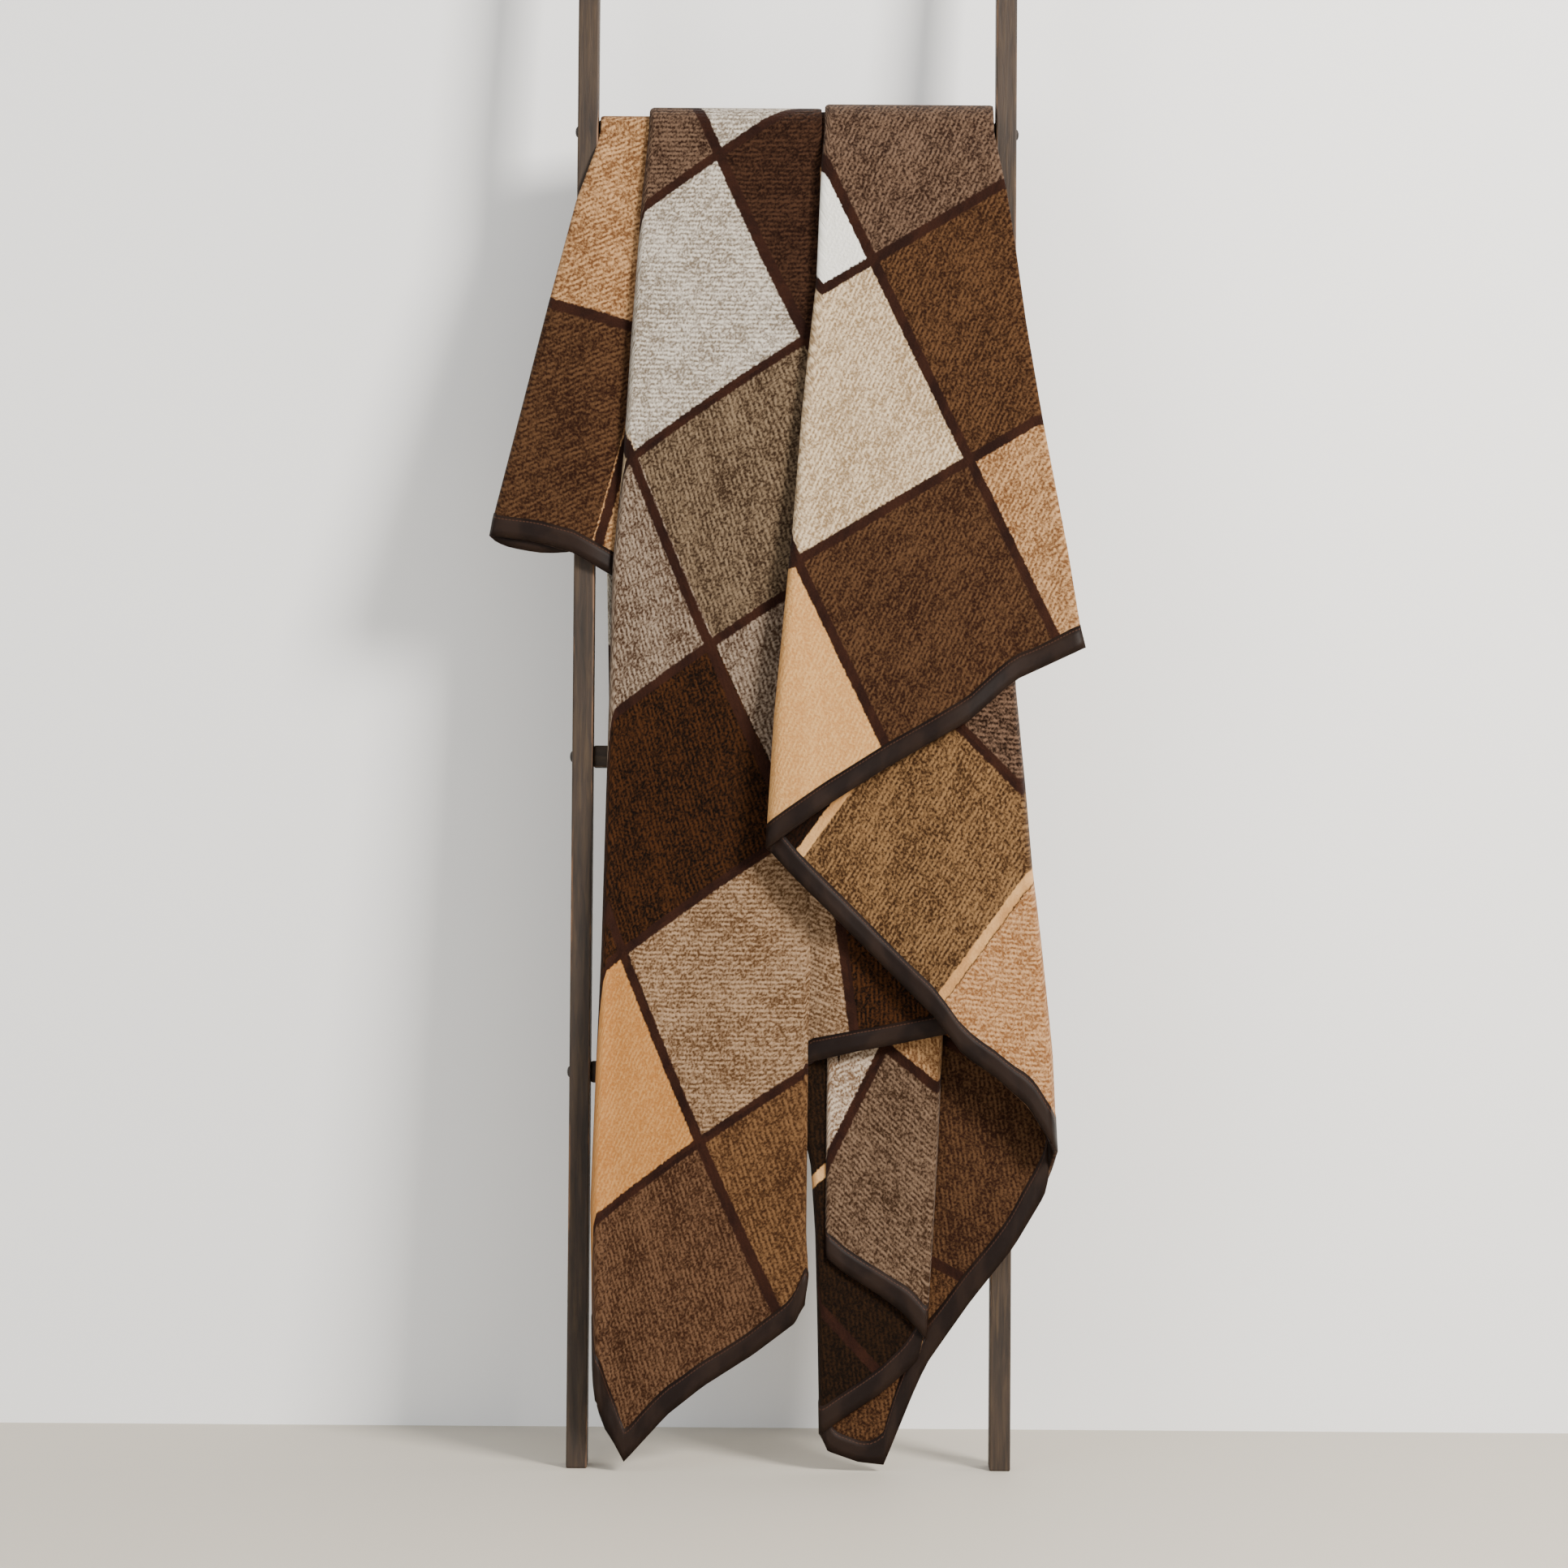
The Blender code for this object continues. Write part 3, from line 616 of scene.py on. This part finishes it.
def plush(name, table, reverse):
    """Short pile, matt with a faint sheen at grazing angles. Each ground colour is crossed by
    a second yarn that shows as rows of small dashes, brushed along the rows."""
    made, tree, bsdf = new_material(name, Roughness=0.92, Sheen_Weight=0.05, Sheen_Roughness=0.5, IOR=1.45,
                                    Specular_IOR_Level=0.08)
    place = node(tree, "UVMap", uv_map="cloth")
    fuzz = node(tree, "TexNoise", place, Scale=60.0, Detail=2.0, out="Color", **FLAT)
    frayed = node(tree, "VectorMath", "MULTIPLY_ADD", fuzz, (FRAY, FRAY, 0.0), place)
    along, up = [
        node(tree, "Math", "SUBTRACT", part, FRAY / 2)
        for part in node(tree, "SeparateXYZ", frayed).node.outputs[:2]
    ]
    dark_yarn, light_yarn, way_tone = [patch_value(tree, along, up, table, which) for which in range(3)]
    way = node(tree, "SeparateColor", way_tone)
    angle = ROW_WAYS[0]
    for low, high, level in ((ROW_WAYS[1], ROW_WAYS[2], 0.75), (ROW_WAYS[0], ROW_WAYS[1], 0.25)):
        reached = node(tree, "Math", "GREATER_THAN", way, level)
        angle = node(tree, "Math", "ADD", angle, node(tree, "Math", "MULTIPLY", reached, high - low))
    angle = node(tree, "Math", "RADIANS", angle)

    # rows of short dashes: along the row and across it, in metres
    metres = node(tree, "VectorMath", "MULTIPLY", place, (PATCH_SHORT, PATCH_LONG, 1.0))
    turned = node(tree, "VectorRotate", metres, rotation_type="Z_AXIS", invert=True, Angle=angle)
    sway = node(tree, "TexNoise", metres, Scale=45.0, Detail=2.0, out="Color", **FLAT)
    swayed = node(tree, "VectorMath", "MULTIPLY_ADD", sway, (0.0, 0.004, 0.0), turned)
    in_row, over_rows, _ = node(tree, "SeparateXYZ", swayed).node.outputs
    row_at = node(tree, "Math", "DIVIDE", over_rows, ROW_PITCH)
    off_middle = node(tree, "Math", "SUBTRACT", node(tree, "Math", "FRACT", row_at), 0.5)
    row_wave = node(tree, "Math", "ABSOLUTE", off_middle)
    ridge = node(tree, "MapRange", row_wave, 0.02, 0.46, 1.0, 0.0, **SMOOTHLY)
    row_shift = node(tree, "Math", "MULTIPLY", node(tree, "Math", "FLOOR", row_at), 3.7)
    lane = node(tree, "CombineXYZ", node(tree, "Math", "DIVIDE", in_row, DASH_LENGTH), row_shift)
    dash = node(tree, "TexNoise", lane, Scale=1.0, Detail=1.0, **FLAT)
    brushed = node(tree, "VectorMath", "MULTIPLY", turned, (14.0, 30.0, 1.0))
    streaks = node(tree, "TexNoise", brushed, Scale=1.0, Detail=5.0, Roughness=0.62, **FLAT)
    hair = node(tree, "TexNoise", metres, Scale=330.0, Detail=3.0, Roughness=0.6, **FLAT)

    # how much of the lighter yarn shows
    dashes = node(tree, "Math", "MULTIPLY", ridge, node(tree, "MapRange", dash, 0.30, 0.62, **SMOOTHLY))
    light = node(tree, "Math", "MULTIPLY", dashes, 0.52)
    for pattern, strength in ((streaks, 0.65), (hair, 1.9)):
        light = node(tree, "Math", "ADD", light, node(tree, "Math", "MULTIPLY", pattern, strength))
    share = node(tree, "MapRange", light, 0.95, 2.00, **SMOOTHLY)
    shown = node(tree, "Mix", share, i6=dark_yarn, i7=light_yarn, **COLOURS)

    # bars of plain pile between the patches; on the reverse those one way are the pale yarn
    tone = node(tree, "MapRange", streaks, 0.3, 0.7, **SMOOTHLY)
    dark_bar = node(tree, "Mix", tone, i6=linear("#1c0d08"), i7=linear("#2c170e"), **COLOURS)
    light_bar = node(tree, "Mix", tone, i6=linear("#a5784a"), i7=linear("#c39763"), **COLOURS)
    along_bar = light_bar if reverse else dark_bar
    for value, pitch, bar in ((up, PATCH_LONG, dark_bar), (along, PATCH_SHORT, along_bar)):
        off_line = node(tree, "Math", "SUBTRACT", value, node(tree, "Math", "ROUND", value))
        off = node(tree, "Math", "MULTIPLY", node(tree, "Math", "ABSOLUTE", off_line), pitch)
        on_bar = node(tree, "MapRange", off, *BAR_EDGE, 1.0, 0.0, **SMOOTHLY)
        shown = node(tree, "Mix", on_bar, i6=shown, i7=bar, **COLOURS)
    tree.links.new(shown, bsdf.inputs["Base Color"])

    pile = node(tree, "Math", "MULTIPLY", light, 0.8)
    height = node(tree, "Math", "ADD", pile, node(tree, "Math", "MULTIPLY", hair, 0.4))
    tree.links.new(node(tree, "Bump", Height=height, Strength=0.6, Distance=0.0014), bsdf.inputs["Normal"])
    return made


normals = surface_normals(grid)
quilt = shell("plush_quilt", grid, normals, half_thick, cloth_cells)
quilt.data.materials.append(plush("woven_plush_face", PATCHES, False))
quilt.data.materials.append(plush("woven_plush_reverse", REVERSE_PATCHES, True))
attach(quilt, "quilt")
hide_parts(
    "quilt_over_rung", "quilt_left_flap", "quilt_long_fall", "quilt_front_fold", "quilt_turned_fold",
    "quilt_middle_fold", "quilt_inner_fold", "quilt_return_fold", "quilt_back_fall",
)

# ---------------------------------------------------------------- satin binding
# A 24 mm satin tape folded over the cloth's raw edge all round and stitched through near its
# inner edge. Smooth and tightly woven, so it shines a little along the folds.
TAPE_THICK = 0.0007
STITCH_FROM_EDGE = 0.0205
STITCH_PITCH = 0.0042

in_band = np.zeros((rows - 1, len(columns) - 1), bool)
in_band[:BAND_ROWS] = True
in_band[-BAND_ROWS:] = True
in_band[:, :2] = True
in_band[:, -2:] = True
row_at = np.arange(rows)
tape_place = np.zeros((rows, len(columns), 2))
tape_place[:, 1:, 0] = np.cumsum(np.linalg.norm(np.diff(grid[0], axis=0), axis=-1))
tape_place[..., 1] = (np.minimum(row_at, rows - 1 - row_at) / BAND_ROWS * BINDING_WIDTH)[:, None]
binding = shell("satin_binding", grid, normals, half_thick + TAPE_THICK, tape_place, in_band)


def satin():
    """Woven satin tape: a fine even thread, slightly puckered along its stitches."""
    made, tree, bsdf = new_material("brown_satin_tape", Roughness=0.50, IOR=1.45, Specular_IOR_Level=0.12)
    place = node(tree, "UVMap", uv_map="cloth")
    weave = node(tree, "TexNoise", place, Scale=900.0, Detail=1.0, **FLAT)
    soft = node(tree, "TexNoise", place, Scale=25.0, Detail=3.0, **FLAT)
    tone = node(tree, "MapRange", soft, 0.35, 0.65, **SMOOTHLY)
    tape = node(tree, "Mix", tone, i6=linear("#150c08"), i7=linear("#20150f"), **COLOURS)
    along, inward, _ = node(tree, "SeparateXYZ", place).node.outputs
    off_line = node(tree, "Math", "ABSOLUTE", node(tree, "Math", "SUBTRACT", inward, STITCH_FROM_EDGE))
    line = node(tree, "MapRange", off_line, 0.0004, 0.0009, 1.0, 0.0, **SMOOTHLY)
    repeat = node(tree, "Math", "FRACT", node(tree, "Math", "DIVIDE", along, STITCH_PITCH))
    stitch = node(tree, "Math", "MULTIPLY", line, node(tree, "MapRange", repeat, 0.25, 0.35, **SMOOTHLY))
    shown = node(tree, "Mix", stitch, i6=tape, i7=linear("#38241a"), **COLOURS)
    tree.links.new(shown, bsdf.inputs["Base Color"])
    height = node(tree, "Math", "ADD", node(tree, "Math", "MULTIPLY", weave, 0.25), stitch)
    height = node(tree, "Math", "ADD", height, node(tree, "Math", "MULTIPLY", soft, 1.2))
    tree.links.new(node(tree, "Bump", Height=height, Strength=0.4, Distance=0.0010), bsdf.inputs["Normal"])
    return made


brown_satin = satin()
for _ in range(2):
    binding.data.materials.append(brown_satin)
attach(binding, "quilt")
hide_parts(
    "binding_left_flap", "binding_long_fall", "binding_front_fold", "binding_turned_fold",
    "binding_middle_fold", "binding_inner_fold", "binding_return_fold", "binding_back_fall",
)

# ---------------------------------------------------------------- stage
# A pale painted floor and a pale painted wall behind the ladder. The wall is clear from
# behind, so the ladder can be looked at from every side.
WALL_BEHIND_FEET = 0.300
STAGE_HALF = 6.0
FLOOR_FRONT = -9.0
WALL_HEIGHT = 4.5


def stage_plane(name, corners, code, roughness, one_sided):
    mesh = bpy.data.meshes.new(name)
    mesh.from_pydata(corners, [], [(0, 1, 2, 3)])
    made = bpy.data.objects.new(name, mesh)
    bpy.context.collection.objects.link(made)
    finish, tree, bsdf = new_material(name + "_paint", Roughness=roughness, Specular_IOR_Level=0.2,
                                      Base_Color=linear(code))
    if one_sided:
        from_behind = node(tree, "NewGeometry", out="Backfacing")
        shown = node(tree, "MixShader", from_behind, bsdf.outputs[0], node(tree, "BsdfTransparent"))
        tree.links.new(shown, tree.nodes["Material Output"].inputs["Surface"])
    mesh.materials.append(finish)


wall_y = foot_y + WALL_BEHIND_FEET
floor_corners = [(-STAGE_HALF, FLOOR_FRONT, 0), (STAGE_HALF, FLOOR_FRONT, 0),
                 (STAGE_HALF, STAGE_HALF, 0), (-STAGE_HALF, STAGE_HALF, 0)]
wall_corners = [(-STAGE_HALF, wall_y, 0), (STAGE_HALF, wall_y, 0),
                (STAGE_HALF, wall_y, WALL_HEIGHT), (-STAGE_HALF, wall_y, WALL_HEIGHT)]
stage_plane("pale_floor", floor_corners, "#bdb6a9", 0.6, False)
stage_plane("pale_wall", wall_corners, "#f6f6f5", 0.8, True)

# ---------------------------------------------------------------- light and camera
# A bright overcast room: even light all round, one large softbox from the front right that
# casts the soft shadows to the left, and a weak one that opens them.
world = bpy.data.worlds.new("studio")
bpy.context.scene.world = world
world.use_nodes = True
daylight = world.node_tree.nodes["Background"].inputs
daylight["Color"].default_value = linear("#f4f6f8")
daylight["Strength"].default_value = 0.95
AIM = Vector((0.0, 0.0, 0.9))


def softbox(name, place, side, power, code):
    lamp = bpy.data.lights.new(name, "AREA")
    lamp.shape = "RECTANGLE"
    lamp.size = lamp.size_y = side
    lamp.energy = power
    lamp.color = linear(code)[:3]
    made = bpy.data.objects.new(name, lamp)
    bpy.context.collection.objects.link(made)
    made.location = place
    made.rotation_euler = (AIM - Vector(place)).to_track_quat("-Z", "Y").to_euler()


softbox("key_softbox", (2.6, -3.2, 3.0), 1.2, 400, "#fffaf4")
softbox("fill_softbox", (-3.5, -4.5, 1.8), 2.5, 70, "#f6f9ff")

CAMERA_BACK = 7.0
CAMERA_UP = 1.093
CAMERA_LEFT = 0.010
CAMERA_DOWN = math.radians(2.53)
CAMERA_ROLL = math.radians(0.40)
camera_data = bpy.data.cameras.new("camera")
camera_data.sensor_width = 36.0
camera_data.lens = 141.0
camera = bpy.data.objects.new("camera", camera_data)
bpy.context.collection.objects.link(camera)
camera.location = (centre_x - CAMERA_LEFT, foot_y - CAMERA_BACK, CAMERA_UP)
tilted = Euler((math.radians(90) - CAMERA_DOWN, 0.0, 0.0)).to_matrix()
rolled = Euler((0.0, 0.0, CAMERA_ROLL)).to_matrix()
camera.rotation_euler = (tilted @ rolled).to_euler()
bpy.context.scene.camera = camera
